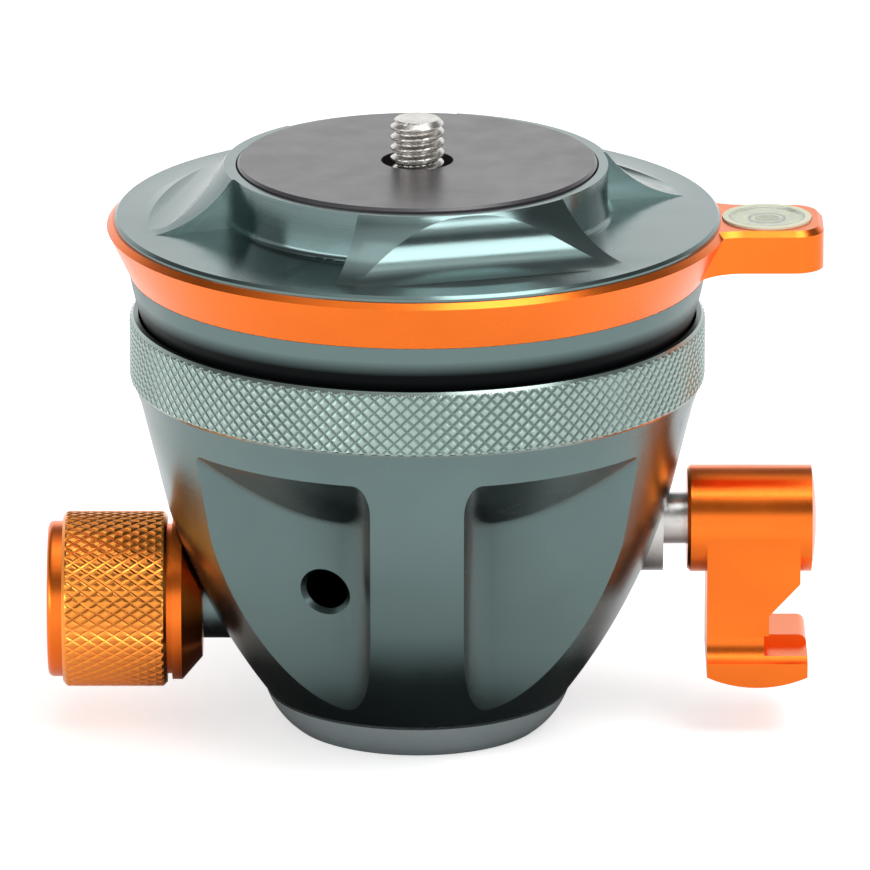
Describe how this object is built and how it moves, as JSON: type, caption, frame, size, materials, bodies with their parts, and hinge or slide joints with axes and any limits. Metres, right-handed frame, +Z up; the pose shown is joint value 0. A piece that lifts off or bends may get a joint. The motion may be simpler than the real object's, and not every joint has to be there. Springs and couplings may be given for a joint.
{
  "type": "camera leveling base",
  "caption": "Leveling base for a tripod: a half ball under the camera plate tilts in a panning housing, with a bubble vial, a lock lever and a pan knob.",
  "frame": {"origin": "centre of the tripod thread's mouth on the underside, which lies on z = 0", "axes": "+Z up along the panning axis and the camera stud, +X towards the lock lever and the bubble vial, -Y the front with the two grip recesses"},
  "size_m": [0.0926, 0.0738, 0.0747],
  "materials": {
    "slate": "satin slate-green anodised, finely turned",
    "orange": "satin orange anodised",
    "stainless": "turned stainless steel",
    "dark_steel": "blackened steel",
    "bronze": "plain bearing bronze",
    "slip_plastic": "slippery white plastic",
    "pad_black": "satin black, smooth",
    "vial_white": "pale plastic cup",
    "vial_fluid": "clear yellow-green fluid",
    "vial_glass": "clear lens"
  },
  "bodies": {
    "base": {"base_ring": "slate", "pan_spindle": "stainless", "base_thread_insert": "stainless", "base_screws": "stainless", "spindle_retainer": "stainless", "upper_thrust_washer": "slip_plastic", "lower_thrust_washer": "slip_plastic"},
    "housing": {"housing": "slate", "grip_collar": "slate", "ball_seat_ring": "bronze", "lever_bush": "stainless", "pan_knob_bush": "slate"},
    "tilt_washer": {"friction_washer": "bronze"},
    "platform": {"half_ball": "slate", "neck_grub_screws": "dark_steel", "level_ring": "orange", "vial_cup": "vial_white", "vial_liquid": "vial_fluid", "vial_lens": "vial_glass", "top_plate": "slate", "top_pad": "pad_black", "camera_stud": "stainless"},
    "clamp": {"draw_rod": "stainless", "clamp_dish": "stainless", "disc_springs": "dark_steel", "clamp_nut": "stainless"},
    "lever": {"tilt_lever": "orange", "lever_shaft": "stainless", "lever_grub_screw": "dark_steel"},
    "brake": {"brake_pin": "stainless"},
    "knob": {"pan_knob": "orange", "pan_screw": "stainless", "knob_grub_screw": "dark_steel"}
  },
  "joints": [
    {"name": "pan_turn", "type": "hinge", "parent": "base", "child": "housing", "pos_m": [0, 0, 0.00456], "axis": [0, 0, 1], "continuous": true},
    {"name": "tilt_front", "type": "hinge", "parent": "housing", "child": "tilt_washer", "pos_m": [0, 0, 0.062], "axis": [1, 0, 0], "range_deg": [-5.5, 5.5]},
    {"name": "tilt_side", "type": "hinge", "parent": "tilt_washer", "child": "platform", "pos_m": [0, 0, 0.062], "axis": [0, 1, 0], "range_deg": [-5.5, 5.5]},
    {"name": "lever_turn", "type": "hinge", "parent": "housing", "child": "lever", "pos_m": [0, 0, 0.025], "axis": [-1, 0, 0], "range_deg": [0, 90]},
    {"name": "clamp_lift", "type": "slide", "parent": "housing", "child": "clamp", "axis": [0, 0, 1], "range_m": [0, 0.00025]},
    {"name": "brake_slide", "type": "slide", "parent": "housing", "child": "brake", "axis": [-1, 0, 0], "range_m": [0, 0.0015]},
    {"name": "knob_turn", "type": "hinge", "parent": "brake", "child": "knob", "pos_m": [-0.03, 0, 0.01485], "axis": [-1, 0, 0], "range_deg": [0, 540]}
  ],
  "couplings": [
    {"joint": "lever_turn", "follows": "clamp_lift", "rad_per_m": 6270},
    {"joint": "knob_turn", "follows": "brake_slide", "rad_per_m": 6283}
  ]
}
